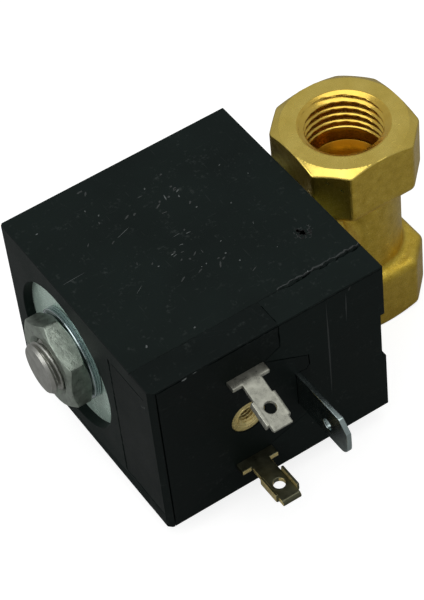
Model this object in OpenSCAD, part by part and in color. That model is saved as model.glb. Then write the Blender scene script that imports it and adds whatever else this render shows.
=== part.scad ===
// Direct-acting two-way solenoid valve: a forged brass body with two in-line ports,
// a plunger that slides in a stainless guide tube, and a moulded plug-in coil held by one nut.
// The origin is the centre of the lower port's mouth and +Z runs up the flow axis.
// The guide tube and the coil lie along -X; the coil's terminals face -Y.

/* [Valve body] */
// Height of the body, from one port mouth to the other
body_h = 34.7; // [34.5:0.1:36]
// Distance across the flats of the two port blocks
body_af = 18.8; // [18.6:0.1:19.2]
// Height of each port block
block_h = 10; // [9.8:0.1:10.4]
// How far each corner of a port block is cut back along its sides
corner_cut = 4; // [3:0.25:4.5]
// Diameter of the neck between the port blocks
neck_d = 15.5; // [15:0.1:16]
// Height of the solenoid axis above the lower port's mouth
axis_z = 18.5; // [18:0.1:18.6]

/* [Ports] */
// Diameter of the threaded wall at its crests, for a G1/4 thread
port_minor_d = 11.445; // [11.4:0.005:11.9]
// Diameter of the countersink at each port mouth
port_mouth_d = 13.5; // [13.2:0.1:14]
// Full depth of each port, thread and plain bore together
port_depth = 9.05; // [8.6:0.05:9.1]

/* [Valve seat] */
// Diameter of the orifice in the seat
orifice_d = 2.5; // [1.5:0.1:2.6]
// Plunger stroke from shut to fully open
stroke = 1.8; // [1:0.1:2]

/* [Guide tube] */
// Outer diameter of the guide tube
tube_d = 11; // [10.9:0.05:11]
// Wall thickness of the guide tube
tube_wall = 0.4; // [0.3:0.05:0.45]
// Nominal diameter of the stud that takes the coil nut
stud_d = 8; // [7.5:0.1:8]
// How far the stud stands out of the coil's rear face
stud_out = 4.6; // [4.2:0.1:6]

/* [Coil] */
// Length of the moulded coil along the guide tube
coil_len = 37.8; // [37.5:0.1:39]
// Height of the moulded coil, and its width about the guide tube
coil_h = 29.45; // [29.2:0.05:30]
// Distance from the solenoid axis to the terminal face
terminal_face = 24.59; // [24.4:0.01:25]
// Gap between the flow axis and the coil's front face
coil_front = 11.15; // [11.1:0.05:11.5]
// Diameter of the round recess about the nut
recess_d = 23.3; // [22:0.1:23.6]
// Depth of the recess about the nut
recess_depth = 1.47; // [1.2:0.01:1.6]

/* [Terminals] */
// Distance between the two line tabs
tab_pitch = 18; // [17.8:0.1:18.2]
// Droop of the upper tab, in degrees
upper_droop = 20; // [0:1:22]
// Distance that the tabs stand out of the terminal face
tab_out = 9.5; // [8.5:0.1:10]
// Distance that the ground tab stands out of the terminal face
ground_out = 11.9; // [10:0.1:12.5]

/* [Nut and washer] */
// Distance across the flats of the coil nut
nut_af = 13; // [12.8:0.1:13.2]
// Thickness of the coil nut
nut_h = 3.3; // [3:0.1:3.4]
// Outer diameter of the washer
washer_d = 14.4; // [14:0.1:16]

/* [Hidden] */
$fn = 96;

slip = 0.02;          // gap between pieces that are fixed to each other
cut = 1;              // how far a cutting shape runs past the surface it cuts

// Body
half_af = body_af / 2;
land_r = half_af - 0.1;
corner_r = norm([half_af, half_af - corner_cut]);
chamfer_slope = tan(30);
port_sink_depth = (port_mouth_d - port_minor_d) / 2 * 0.6;
boss_face = -9.75;
boss_r = half_af - 0.05;
boss_root = -6.5;     // where the boss starts to taper into the neck
boss_end = -2.6;
socket_r = 7;         // thread of the collar in the boss
socket_floor = -6.2;
chamber_r = 4.8;
chamber_floor = -0.9;
seat_x = -4.6;
seat_lip_r = 1.9;
nozzle_r = 2.6;
outlet_x = 1.6;
outlet_r = 1.4;
inlet_x = -2.6;
inlet_r = 1.2;

// Guide tube assembly
tube_r = tube_d / 2;
bore_r = tube_r - tube_wall;
flange_r = 6.4;
flange_t = 0.58;
flange_x = socket_floor - slip;
collar_head_r = 8.8;
collar_head_t = 0.93;
core_r = bore_r - slip;
plunger_r = bore_r - 0.06;
plunger_front = flange_x - flange_t;
nose_r = 4;
nose_x = -5.2;
plunger_back = -25.5;
core_face = plunger_back - stroke - 0.05;
spring_bore_r = 2.6;
spring_seat = plunger_back + 8;
ring_r = 3.4;
ring_w = 0.9;
ring_t = 1.2;
o_ring_r = 5.95;
o_ring_wire = 0.52;
o_ring_depth = 1.1;

// Coil
front = -coil_front;
rear = front - coil_len;
half_h = coil_h / 2;
recess_r = recess_d / 2;
front_recess = 0.85;
plate_t = 2.5;
plate_front = front - front_recess;
plate_rear = rear + recess_depth;
yoke_half_z = 12.2;
yoke_low_y = -12.1;
leg_in_y = 11.5;
leg_out_y = 13.4;
bush_r = tube_r + 0.08;
bush_out_r = bush_r + 1.05;
bush_len = 11;
bobbin_in_r = bush_out_r + slip;
bobbin_tube_r = bobbin_in_r + 0.7;
flange_out_r = 11.2;
bobbin_flange_t = 1.2;
bobbin_front = plate_front - plate_t - slip;
bobbin_rear = plate_rear + plate_t + slip;
winding_r = 10.9;
washer_t = 1.15;
tube_end = plate_rear + 0.6;
washer_x = plate_rear - 0.03;
nut_x = washer_x - washer_t - slip;
stud_end = rear - stud_out;

// Terminals
face_y = -terminal_face;
strip_t = 5;          // thickness of the moulded strip behind the terminal face
strip_y = face_y + strip_t;
block_y = -13.8;      // inner end of the terminal block
block_half_z = 12;
block_x = -30;
strip_end = -28.4;
notch_x = -31.1;      // where the outline turns in beside each line tab
arrow_x = -24;
term_z = axis_z - 0.4;
tab_x = -34.25;
tab_w = 6;
tab_t = 0.8;
neck_w = 3.05;
tab_plate_w = 3.9;
ear_out = 1.65;
wing_start = 2.75;
wing_end = 6.7;
wing_t = 0.45;
wing_h = 1.5;
tab_hole_d = 1.8;
tab_hole_s = 4.6;
tab_root_y = -17;
ground_x = -25.9;
ground_w = 6.4;
ground_hole_y = face_y - 7.2;
insert_x = -34.4;
insert_r = 2.8;
insert_len = 8;
insert_set = 0.15;
m3_minor_r = 1.23;
m3_depth = 7;
lead_r = 0.3;

// A cylinder along the solenoid axis, from x0 to x1
module along(x0, x1, r1, r2 = undef) {
    translate([x0, 0, axis_z])
        rotate([0, 90, 0])
            cylinder(h = x1 - x0, r1 = r1, r2 = is_undef(r2) ? r1 : r2);
}

// A tube along the solenoid axis
module along_tube(x0, x1, ro, ri) {
    difference() {
        along(x0, x1, ro);
        along(x0 - cut, x1 + cut, ri);
    }
}

// A box given by its low and high corners
module span(lo, hi) {
    translate(lo) cube(hi - lo);
}

// ---------------------------------------------------------------- body

// Section of a port block: a square with its four corners cut
module block_section() {
    a = half_af;
    b = half_af - corner_cut;
    polygon([[a, -b], [a, b], [b, a], [-b, a], [-a, b], [-a, -b], [-b, -a], [b, -a]]);
}

// One port block, standing on its mouth, with both ends turned to a 30 degree chamfer
module port_block() {
    drop = (corner_r - land_r) * chamfer_slope;
    intersection() {
        linear_extrude(block_h) block_section();
        rotate_extrude()
            polygon([[0, 0], [land_r, 0], [corner_r, drop], [corner_r, block_h - drop],
                [land_r, block_h], [0, block_h]]);
    }
}

// The space of one port, with its mouth at z = 0 and its floor above
module port_space() {
    r = port_minor_d / 2;
    translate([0, 0, -cut]) cylinder(h = cut, r = port_mouth_d / 2);
    cylinder(h = port_sink_depth, r1 = port_mouth_d / 2, r2 = r);
    cylinder(h = port_depth, r = r);
}

module at_top() {
    translate([0, 0, body_h]) mirror([0, 0, 1]) children();
}

module valve_body() {
    color("#b39a45")
    difference() {
        union() {
            port_block();
            at_top() port_block();
            translate([0, 0, block_h - cut])
                cylinder(h = body_h - 2 * block_h + 2 * cut, d = neck_d);
            along(boss_face, boss_root, boss_r);
            along(boss_root, boss_end, boss_r, neck_d / 2 - 0.6);
        }
        port_space();
        at_top() port_space();
        along(boss_face - cut, socket_floor, socket_r);
        // chamber with the seat nozzle standing in it
        difference() {
            along(socket_floor - slip, chamber_floor, chamber_r);
            along(seat_x, chamber_floor + cut, seat_lip_r, nozzle_r + 0.2);
        }
        along_tube(socket_floor - slip, socket_floor + o_ring_depth,
            o_ring_r + o_ring_wire + 0.05, o_ring_r - o_ring_wire - 0.05);
        along(seat_x - cut, outlet_x, orifice_d / 2);
        translate([outlet_x, 0, port_depth - cut]) cylinder(h = axis_z - port_depth + cut, r = outlet_r);
        translate([inlet_x, 0, axis_z + nozzle_r + 0.3])
            cylinder(h = body_h - port_depth - axis_z - nozzle_r - 0.3 + cut, r = inlet_r);
    }
}

// ---------------------------------------------------------------- guide tube

module tube_collar() {
    thread_end = plunger_front - slip;
    color("#8f9396")
    difference() {
        union() {
            along(boss_face, thread_end, socket_r - 0.05);
            along(boss_face - slip - collar_head_t, boss_face - slip, collar_head_r);
            along(boss_face - 2 * slip, boss_face + slip, socket_r - 0.05);
        }
        along(boss_face - cut - collar_head_t, thread_end + cut, tube_r + slip);
    }
}

module guide_tube() {
    color("#a7abad")
    difference() {
        union() {
            along(flange_x - flange_t, flange_x, flange_r);
            along(tube_end, flange_x, tube_r);
        }
        along(tube_end - cut, flange_x + cut, bore_r);
    }
}

// The fixed pole, with the threaded stud that takes the nut
module fixed_core() {
    color("#8d8f8c")
    difference() {
        union() {
            along(tube_end, core_face, core_r);
            along(tube_end - 0.5, tube_end - slip, tube_r);
            along(tube_end - 2 * slip, tube_end + slip, core_r);
            along(stud_end + 0.4, tube_end - 0.4, stud_d / 2);
            along(stud_end, stud_end + 0.4, stud_d / 2 - 0.3, stud_d / 2);
        }
        along_tube(core_face - ring_t, core_face + cut, ring_r + ring_w + slip, ring_r - slip);
    }
}

module shading_ring() {
    color("#b46a3c")
    along_tube(core_face - ring_t + slip, core_face, ring_r + ring_w, ring_r);
}

module tube_o_ring() {
    color("#1d1d1d")
    translate([socket_floor + o_ring_depth / 2, 0, axis_z])
        rotate([0, 90, 0])
            rotate_extrude()
                translate([o_ring_r, 0]) circle(r = o_ring_wire, $fn = 48);
}

module plunger() {
    slot_w = 1.2;
    color("#9a9c9b")
    difference() {
        union() {
            along(plunger_back, plunger_front, plunger_r);
            along(plunger_front - cut, nose_x, nose_r);
        }
        along(plunger_back - cut, spring_seat, spring_bore_r);
        along(nose_x - 2, nose_x + cut, 2.82);
        // two grooves let the fluid past as the plunger moves
        for (side = [-1, 1])
            span([plunger_back - cut, side * plunger_r - 0.6, axis_z - slot_w / 2],
                [plunger_front + cut, side * plunger_r + 0.6, axis_z + slot_w / 2]);
    }
}

module plunger_seal() {
    color("#262626")
    union() {
        along(nose_x - 2 + slip, nose_x, 2.8);
        along(nose_x - 0.01, seat_x - slip, 2.6);
    }
}

// Ring of points about one place on the helix of the spring
function coil_ring(x, turn, r, wire, sides) =
    [for (k = [0:sides - 1])
        let (a = 360 * k / sides, rr = r + wire * cos(a))
            [x + wire * sin(a), rr * cos(turn), rr * sin(turn)]];

module plunger_spring() {
    wire = 0.25;
    mean_r = 2.05;
    turns = 7;
    steps = 16;
    sides = 8;
    x0 = core_face + wire + slip;
    x1 = spring_seat - wire - slip;
    rings = turns * steps;
    points = [for (i = [0:rings])
        each coil_ring(x0 + (x1 - x0) * i / rings, 360 * i / steps, mean_r, wire, sides)];
    walls = [for (i = [0:rings - 1], k = [0:sides - 1])
        let (n = (k + 1) % sides, a = i * sides, b = a + sides)
            [a + k, b + k, b + n, a + n]];
    near = [for (k = [0:sides - 1]) k];
    far = [for (k = [sides - 1:-1:0]) rings * sides + k];
    color("#c9cccd")
    translate([0, 0, axis_z])
        polyhedron(points = points, faces = concat([near], walls, [far]), convexity = 8);
}

// ---------------------------------------------------------------- coil

// The outline of the terminal block on the terminal face, in X and Z about the solenoid axis
module block_outline() {
    polygon([[rear, half_h], [strip_end, half_h], [strip_end, 10.2], [notch_x, 8.9],
        [arrow_x, 5.3], [arrow_x, -5.3], [notch_x, -8.9], [strip_end, -10.2],
        [strip_end, -half_h], [rear, -half_h]]);
}

// The whole room that the terminal block fills
module block_space() {
    translate([0, strip_y, axis_z])
        rotate([90, 0, 0])
            linear_extrude(strip_t) block_outline();
    span([rear, strip_y - cut, axis_z - block_half_z], [block_x, block_y, axis_z + block_half_z]);
}

module yoke_plate(x0, grow = 0) {
    span([x0, yoke_low_y - grow, axis_z - yoke_half_z - grow],
        [x0 + plate_t, leg_out_y + grow, axis_z + yoke_half_z + grow]);
}

// Path of the ground strap, from the blade to the front plate of the yoke
module ground_strap(grow = 0) {
    span([ground_x - 0.4 - grow, -13.1 - grow, term_z - ground_w / 2 - grow],
        [plate_front - plate_t + 1.5 + grow, yoke_low_y - slip, term_z + ground_w / 2 + grow]);
}

module lead_holes(r) {
    for (side = [-1, 1])
        translate([tab_x, tab_root_y - 0.5, term_z + side * tab_pitch / 2])
            rotate([-90, 0, 0]) cylinder(h = 12, r = r, $fn = 32);
}

module coil_housing() {
    edge = 0.6;
    color("#23292a")
    difference() {
        span([rear, face_y, axis_z - half_h], [front, half_h, axis_z + half_h]);
        block_space();
        // rooms for the yoke, the bobbin and the guide tube
        yoke_plate(plate_front - plate_t);
        yoke_plate(plate_rear);
        span([plate_rear, leg_in_y, axis_z - yoke_half_z], [plate_front, leg_out_y, axis_z + yoke_half_z]);
        along(plate_rear + plate_t - slip, plate_front - plate_t + slip, flange_out_r + slip);
        along(rear - cut, plate_rear + slip, recess_r);
        along(plate_front - slip, front + cut, recess_r);
        // channel across the front face and the strap to the ground tab
        span([front - 0.7, face_y - cut, axis_z - 4.1], [front + cut, -recess_r + 1, axis_z + 5]);
        ground_strap(slip);
        span([ground_x - 0.45, face_y - cut, term_z - ground_w / 2 - slip],
            [ground_x + 0.45, -13, term_z + ground_w / 2 + slip]);
        lead_holes(lead_r + slip);
        // bevels on the upright edges away from the ports
        for (y = [face_y, half_h])
            translate([rear, y, axis_z - half_h - cut])
                rotate([0, 0, 45])
                    translate([-edge / 2, -edge / 2, 0]) cube([edge, edge, coil_h + 2 * cut]);
    }
}

module terminal_block() {
    bead = 1.06;
    color("#1b2021")
    difference() {
        block_space();
        // cove along the upright edge by the nut
        translate([rear, face_y, axis_z - half_h - cut])
            rotate([0, 0, 45])
                translate([-bead / 2, -bead / 2, 0]) cube([bead, bead, coil_h + 2 * cut]);
        for (side = [-1, 1])
            translate([0, 0, term_z + side * tab_pitch / 2])
                span([tab_x - tab_w / 2 - slip, face_y - cut, -tab_t / 2 - slip],
                    [tab_x + tab_w / 2 + slip, tab_root_y + slip, tab_t / 2 + slip]);
        translate([insert_x, face_y - cut, term_z])
            rotate([-90, 0, 0]) cylinder(h = insert_len + insert_set + cut + slip, r = insert_r + slip);
        span([ground_x - 0.45, face_y - cut, term_z - ground_w / 2 - slip],
            [ground_x + 0.45, -13, term_z + ground_w / 2 + slip]);
        lead_holes(lead_r + slip);
        along(plate_rear + plate_t - slip, plate_front - plate_t + slip, flange_out_r + 2);
    }
}

module bobbin() {
    color("#d8d3c4")
    difference() {
        union() {
            along(bobbin_rear, bobbin_front, bobbin_tube_r);
            along(bobbin_rear, bobbin_rear + bobbin_flange_t, flange_out_r);
            along(bobbin_front - bobbin_flange_t, bobbin_front, flange_out_r);
        }
        along(bobbin_rear - cut, bobbin_front + cut, bobbin_in_r);
    }
}

module winding() {
    color("#9c4f22")
    along_tube(bobbin_rear + bobbin_flange_t + slip, bobbin_front - bobbin_flange_t - slip,
        winding_r, bobbin_tube_r + slip);
}

// Two wires, from the outside of the winding to the roots of the line tabs
module winding_leads() {
    color("#9c4f22")
    for (side = [-1, 1]) {
        z = side * tab_pitch / 2 + term_z - axis_z;
        y = -sqrt(pow(winding_r + 0.2, 2) - z * z);
        translate([tab_x, tab_root_y + 2 * slip, axis_z + z])
            rotate([-90, 0, 0]) cylinder(h = y - tab_root_y - 4 * slip - lead_r, r = lead_r, $fn = 32);
    }
}

module yoke() {
    color("#a8b4ad")
    difference() {
        union() {
            yoke_plate(plate_front - plate_t);
            yoke_plate(plate_rear);
            span([plate_rear, leg_in_y, axis_z - yoke_half_z],
                [plate_front, leg_out_y, axis_z + yoke_half_z]);
        }
        along(rear - cut, front + cut, bush_out_r + slip);
    }
}

module flux_bush_front() {
    color("#7f8583")
    along_tube(plate_front - bush_len, plate_front, bush_out_r, bush_r);
}

module flux_bush_rear() {
    color("#7f8583")
    along_tube(plate_rear, plate_rear + bush_len, bush_out_r, bush_r);
}

// ---------------------------------------------------------------- terminals

// The free end of a line tab: it starts at the origin and runs along -Y with its top at z = 0.
// The wings turn down, towards -Z.
module tab_blade() {
    len = tab_out - ear_out;
    difference() {
        union() {
            span([-neck_w / 2, -len + 0.6, -tab_t], [neck_w / 2, 0.3, 0]);
            // bevelled tip
            rotate([90, 0, 90])
                translate([0, 0, -neck_w / 2])
                    linear_extrude(neck_w)
                        polygon([[-len, -tab_t], [-len + 0.7, -tab_t], [-len + 0.7, 0],
                            [-len, -tab_t * 0.5]]);
            for (side = [-1, 1]) {
                inner = tab_plate_w / 2 - wing_t;
                lo = side > 0 ? inner : -tab_plate_w / 2;
                span([lo, -wing_end, -wing_h], [lo + wing_t, -wing_start, 0]);
            }
            span([-tab_plate_w / 2 + 0.1, -wing_end, -tab_t],
                [tab_plate_w / 2 - 0.1, -wing_start, 0]);
        }
        translate([0, -tab_hole_s, -tab_t - cut]) cylinder(h = tab_t + 2 * cut, d = tab_hole_d);
    }
}

// A line tab with its root in the block, its top at z = 0, and its blade turned down by droop
module line_tab(droop) {
    span([-tab_w / 2, face_y - ear_out, -tab_t], [tab_w / 2, tab_root_y, 0]);
    translate([0, face_y - ear_out, 0])
        rotate([droop, 0, 0]) tab_blade();
}

module line_terminal_upper() {
    color("#b9b7ae")
    translate([tab_x, 0, term_z + tab_pitch / 2 + tab_t / 2])
        line_tab(upper_droop);
}

// The lower tab is the same stamping turned over, so its wings point up
module line_terminal_lower() {
    color("#a79a63")
    translate([tab_x, 0, term_z - tab_pitch / 2 - tab_t / 2])
        mirror([0, 0, 1]) line_tab(0);
}

module ground_terminal() {
    w = ground_w / 2;
    y1 = face_y - ground_out;
    color("#9fb0ae")
    union() {
        difference() {
            translate([ground_x - tab_t / 2, 0, term_z])
                rotate([90, 0, 90])
                    linear_extrude(tab_t)
                        polygon([[-13.1, -w], [-13.1, w], [y1 + 1.8, w], [y1 + 0.25, w - 0.8],
                            [y1, w - 1.5], [y1, -w + 1.9], [y1 + 0.35, -w + 0.8],
                            [y1 + 1.2, -w + 0.1], [y1 + 2, -w]]);
            translate([ground_x - cut, ground_hole_y, term_z - 0.7])
                rotate([0, 90, 0]) cylinder(h = 2 * cut, d = tab_hole_d);
        }
        difference() {
            ground_strap();
            span([ground_x + 2, -14, term_z - ground_w / 2 - cut],
                [plate_front - plate_t - 2, -12, term_z - 1.5]);
        }
    }
}

module threaded_insert() {
    color("#b08f3c")
    translate([insert_x, face_y + insert_set, term_z])
        rotate([-90, 0, 0])
            difference() {
                cylinder(h = insert_len, r = insert_r);
                translate([0, 0, -cut]) cylinder(h = m3_depth + cut, r = m3_minor_r);
                translate([0, 0, -0.01]) cylinder(h = 0.35, r1 = m3_minor_r + 0.35, r2 = m3_minor_r);
            }
}

// ---------------------------------------------------------------- fasteners

module coil_gasket() {
    color("#1c1c1c")
    along_tube(plate_front + 0.05, boss_face - collar_head_t - 2 * slip, 8.4, tube_r + slip);
}

module coil_washer() {
    color("#a9b6ba")
    along_tube(washer_x - washer_t, washer_x, washer_d / 2, stud_d / 2 + 0.2);
}

module coil_nut() {
    hex_r = nut_af / sqrt(3);
    edge_r = nut_af / 2;
    drop = (hex_r - edge_r) * chamfer_slope;
    sink_r = stud_d / 2 + 0.5;
    color("#8f948b")
    translate([nut_x - nut_h, 0, axis_z])
        rotate([0, 90, 0])
            difference() {
                intersection() {
                    rotate([0, 0, -2]) cylinder(h = nut_h, r = hex_r, $fn = 6);
                    rotate_extrude()
                        polygon([[0, 0], [edge_r, 0], [hex_r, drop], [hex_r, nut_h - drop],
                            [edge_r, nut_h], [0, nut_h]]);
                }
                translate([0, 0, -cut]) cylinder(h = nut_h + 2 * cut, r = stud_d / 2 + slip);
                translate([0, 0, -0.01]) cylinder(h = 0.5, r1 = sink_r, r2 = stud_d / 2 + slip);
            }
}

valve_body();
tube_collar();
guide_tube();
fixed_core();
shading_ring();
tube_o_ring();
plunger();
plunger_seal();
plunger_spring();
coil_housing();
terminal_block();
bobbin();
winding();
winding_leads();
yoke();
flux_bush_front();
flux_bush_rear();
line_terminal_upper();
line_terminal_lower();
ground_terminal();
threaded_insert();
coil_gasket();
coil_washer();
coil_nut();
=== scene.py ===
import math
import random

import bmesh
import bpy
import numpy as np
from mathutils import Matrix, Vector


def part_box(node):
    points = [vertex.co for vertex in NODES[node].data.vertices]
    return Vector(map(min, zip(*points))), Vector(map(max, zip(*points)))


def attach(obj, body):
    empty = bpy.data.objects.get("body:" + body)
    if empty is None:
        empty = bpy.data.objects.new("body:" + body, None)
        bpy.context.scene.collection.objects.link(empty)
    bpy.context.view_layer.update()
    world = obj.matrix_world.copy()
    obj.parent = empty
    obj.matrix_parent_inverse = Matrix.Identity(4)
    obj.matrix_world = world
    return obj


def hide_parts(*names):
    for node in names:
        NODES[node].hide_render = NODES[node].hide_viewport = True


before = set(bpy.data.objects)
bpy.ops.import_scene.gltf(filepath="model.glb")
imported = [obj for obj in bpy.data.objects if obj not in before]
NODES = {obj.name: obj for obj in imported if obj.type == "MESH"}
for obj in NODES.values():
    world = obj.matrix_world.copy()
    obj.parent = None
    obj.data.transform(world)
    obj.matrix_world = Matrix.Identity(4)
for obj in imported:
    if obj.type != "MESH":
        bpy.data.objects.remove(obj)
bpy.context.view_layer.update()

MM = 0.001


def box_mm(node):
    """A CAD node's lowest and highest corners, in millimetres."""
    low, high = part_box(node)
    return np.array(low) / MM, np.array(high) / MM


# ------------------------------------------------------------------ sizes, in mm, from the frame

BODY_LO, BODY_HI = box_mm("valve_body")
COIL_LO, COIL_HI = box_mm("coil_housing")
CORE_LO, CORE_HI = box_mm("fixed_core")
NUT_LO, NUT_HI = box_mm("coil_nut")
WASHER_LO, WASHER_HI = box_mm("coil_washer")
INSERT_LO, INSERT_HI = box_mm("threaded_insert")
GROUND_LO, GROUND_HI = box_mm("ground_terminal")
TAB_LO, TAB_HI = box_mm("line_terminal_lower")
TAB_UP_TOP = box_mm("line_terminal_upper")[1][2]

AXIS_Z = (CORE_LO[2] + CORE_HI[2]) / 2  # height of the solenoid axis
FACE_Y = COIL_LO[1]  # terminal face
TOP_Z = COIL_HI[2]  # upper face of the coil
TOP_V = TOP_Z - AXIS_Z  # the same, above the solenoid axis
REAR_X = COIL_LO[0]  # face of the coil about the nut
FRONT_X = COIL_HI[0]  # face of the coil towards the ports

# the brass body. The thread is G1/4 by choice: the photo does not settle it.
PITCH = 1.337
CREST_R = 5.7225
ROOT_R = 6.579
MOUTH_R = 6.75
BORE_DEPTH = 9.05
THREAD_END = 6.9
FIRST_CREST = 1.37
HALF_AF = BODY_HI[1]
CORNER_CUT = 4.0
LAND_R = HALF_AF - 0.1
BLOCK_H = 10.0
NECK_R = 7.75
BODY_H = BODY_HI[2]
CONE = math.tan(math.radians(30))
RIM = 0.012  # how far the mouths' rims stand above the turned faces about them
BODY_NET = 0.16  # grid steps of the surface nets
TAB_NET = 0.07
BLADE_NET = 0.08
ROUND = 192  # points round a bore or the stud


# ------------------------------------------------------------------ mesh tools

def new_object(name, verts, faces, materials, sharp=32):
    """A mesh object from points in millimetres."""
    mesh = bpy.data.meshes.new(name)
    mesh.from_pydata([tuple(v) for v in np.asarray(verts, float) * MM], [], faces)
    return finish_mesh(name, mesh, materials, sharp)


def finish_mesh(name, mesh, materials, sharp=32):
    """Puts a mesh in the scene, with edges of more than sharp degrees kept hard."""
    mesh.validate()
    tidy = bmesh.new()
    tidy.from_mesh(mesh)
    bmesh.ops.recalc_face_normals(tidy, faces=tidy.faces)
    tidy.to_mesh(mesh)
    tidy.free()
    for material in materials:
        mesh.materials.append(material)
    mesh.shade_smooth()
    mesh.set_sharp_from_angle(angle=math.radians(sharp))
    piece = bpy.data.objects.new(name, mesh)
    bpy.context.scene.collection.objects.link(piece)
    return piece


def bands(count, turns, closed=False):
    """Quads between count rings of turns points each. closed also joins the last ring to the first."""
    faces = []
    for i in range(count if closed else count - 1):
        a, b = i * turns, (i + 1) % count * turns
        faces += [(a + k, a + (k + 1) % turns, b + (k + 1) % turns, b + k) for k in range(turns)]
    return faces


def ring(radius, along, turns=ROUND):
    """Points about Z. radius is one number, or one for each point."""
    angle = np.linspace(0, 2 * math.pi, turns, endpoint=False)
    return np.stack([radius * np.cos(angle), radius * np.sin(angle), np.full(turns, along)], 1)


def lathe(profile, turns=160):
    """Points and quads of a closed profile of (along, radius) pairs, turned about Z."""
    verts = np.concatenate([ring(r, z, turns) for z, r in profile])
    return verts, bands(len(profile), turns, closed=True)


def wall(radius, rows, turns=ROUND):
    """Points and quads of an open round wall. rows hold (place along Z, key) for radius(key, angle)."""
    angle = np.linspace(0, 2 * math.pi, turns, endpoint=False)
    verts = np.concatenate([ring(radius(key, angle), along, turns) for along, key in rows])
    return verts, bands(len(rows), turns)


def along_x(verts, x):
    """Turns points made about Z so that they lie about the solenoid axis, starting at x and running to -X."""
    v = np.asarray(verts, float)
    return np.stack([x - v[:, 2], v[:, 1], AXIS_Z + v[:, 0]], 1)


def merge(parts):
    """One list of points and one of faces from several."""
    verts, faces, start = [], [], 0
    for v, f in parts:
        verts.append(np.asarray(v, float))
        faces += [tuple(start + i for i in face) for face in f]
        start += len(v)
    return np.concatenate(verts), faces


def surface_net(field, low, high, step):
    """Points and quads on the zero level of field(x, y, z): one point in each grid cell that it crosses."""
    axes = [np.arange(a - 1.5 * step, b + 2.5 * step, step) for a, b in zip(low, high)]
    d = field(*np.meshgrid(*axes, indexing="ij"))
    cells = tuple(n - 1 for n in d.shape)
    count = np.zeros(cells)
    total = np.zeros(cells + (3,))
    crossings = []
    for axis in range(3):
        a = np.take(d, range(d.shape[axis] - 1), axis)
        b = np.take(d, range(1, d.shape[axis]), axis)
        cross = (a < 0) != (b < 0)
        t = np.where(cross, a / np.where(cross, a - b, 1), 0)
        place = np.stack(np.meshgrid(*[ax[:n] for ax, n in zip(axes, a.shape)], indexing="ij"), -1)
        place[..., axis] += t * step
        u, v = [k for k in range(3) if k != axis]
        for du in (0, 1):
            for dv in (0, 1):
                window = [slice(None)] * 3
                window[u] = slice(du, du + cells[u])
                window[v] = slice(dv, dv + cells[v])
                window = tuple(window)
                count += cross[window]
                total += place[window] * cross[window][..., None]
        crossings.append((axis, u, v, cross, a < 0))
    used = count > 0
    number = np.cumsum(used.ravel()).reshape(cells) - 1
    verts = total[used] / count[used][:, None]
    faces = []
    for axis, u, v, cross, low_in in crossings:
        index = np.argwhere(cross)
        ok = (index[:, u] > 0) & (index[:, v] > 0) & (index[:, u] < cells[u]) & (index[:, v] < cells[v])
        index = index[ok]
        flip = low_in[tuple(index.T)]
        if axis == 1:
            flip = ~flip
        ring = []
        for du, dv in ((0, 0), (1, 0), (1, 1), (0, 1)):
            cell = index.copy()
            cell[:, u] -= du
            cell[:, v] -= dv
            ring.append(number[tuple(cell.T)])
        quads = np.stack(ring, 1)
        quads[~flip] = quads[~flip][:, ::-1]
        faces += quads.tolist()
    return verts, [tuple(f) for f in faces]


def smooth_max(a, b, k):
    """The larger of two distances, with their meeting edge rounded to about k."""
    h = np.maximum(k - np.abs(a - b), 0) / k
    return np.maximum(a, b) + h * h * k / 4


def smooth_min(a, b, k):
    """The smaller of two distances, rounded in the same way."""
    return -smooth_max(-a, -b, k)


def box_field(x, y, z, low, high, k=0.0):
    """Distance to a box, with edges rounded to about k."""
    parts = [(v - (lo + hi) / 2, (hi - lo) / 2) for v, lo, hi in zip((x, y, z), low, high)]
    d = [np.abs(v) - half for v, half in parts]
    if not k:
        return np.maximum(np.maximum(d[0], d[1]), d[2])
    return smooth_max(smooth_max(d[0], d[1], k), d[2], k)


def from_node(node):
    """A CAD node's mesh with its flat faces whole again, ready to be bevelled."""
    bm = bmesh.new()
    bm.from_mesh(NODES[node].data)
    bmesh.ops.remove_doubles(bm, verts=bm.verts, dist=0.002 * MM)
    bmesh.ops.dissolve_limit(bm, angle_limit=math.radians(0.6), verts=bm.verts, edges=bm.edges)
    mesh = bpy.data.meshes.new(node + "_base")
    bm.to_mesh(mesh)
    bm.free()
    piece = bpy.data.objects.new(node + "_base", mesh)
    bpy.context.scene.collection.objects.link(piece)
    return piece


def applied(piece, name, materials):
    """The piece with its modifiers applied, under a new name."""
    graph = bpy.context.evaluated_depsgraph_get()
    mesh = bpy.data.meshes.new_from_object(piece.evaluated_get(graph))
    mesh.materials.clear()
    bpy.data.objects.remove(piece)
    return finish_mesh(name, mesh, materials)


def cut(piece, cutters):
    """Takes the cutters' volumes out of the piece."""
    for cutter in cutters:
        modifier = piece.modifiers.new("cut", "BOOLEAN")
        modifier.operation = "DIFFERENCE"
        modifier.solver = "EXACT"
        modifier.object = cutter


def soften(piece, width):
    """Rounds the edges that are marked for it."""
    modifier = piece.modifiers.new("soften", "BEVEL")
    modifier.width = width * MM
    modifier.segments = 3
    modifier.limit_method = "WEIGHT"
    modifier.use_clamp_overlap = True


def even_shading(piece):
    """Keeps big flat faces flat in the light beside their rounded edges."""
    modifier = piece.modifiers.new("even", "WEIGHTED_NORMAL")
    modifier.weight = 100
    modifier.keep_sharp = True


def prism(name, outline, low, high, axis):
    """A solid between two planes across an axis. The outline holds the other two coordinates, in order."""
    n = len(outline)

    def place(p, level):
        return tuple(np.insert(np.array(p, float), axis, level))

    verts = [place(p, low) for p in outline] + [place(p, high) for p in outline]
    faces = [tuple(range(n)), tuple(range(2 * n - 1, n - 1, -1))]
    faces += [(k, (k + 1) % n, n + (k + 1) % n, n + k) for k in range(n)]
    return new_object(name, verts, faces, [])


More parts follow.
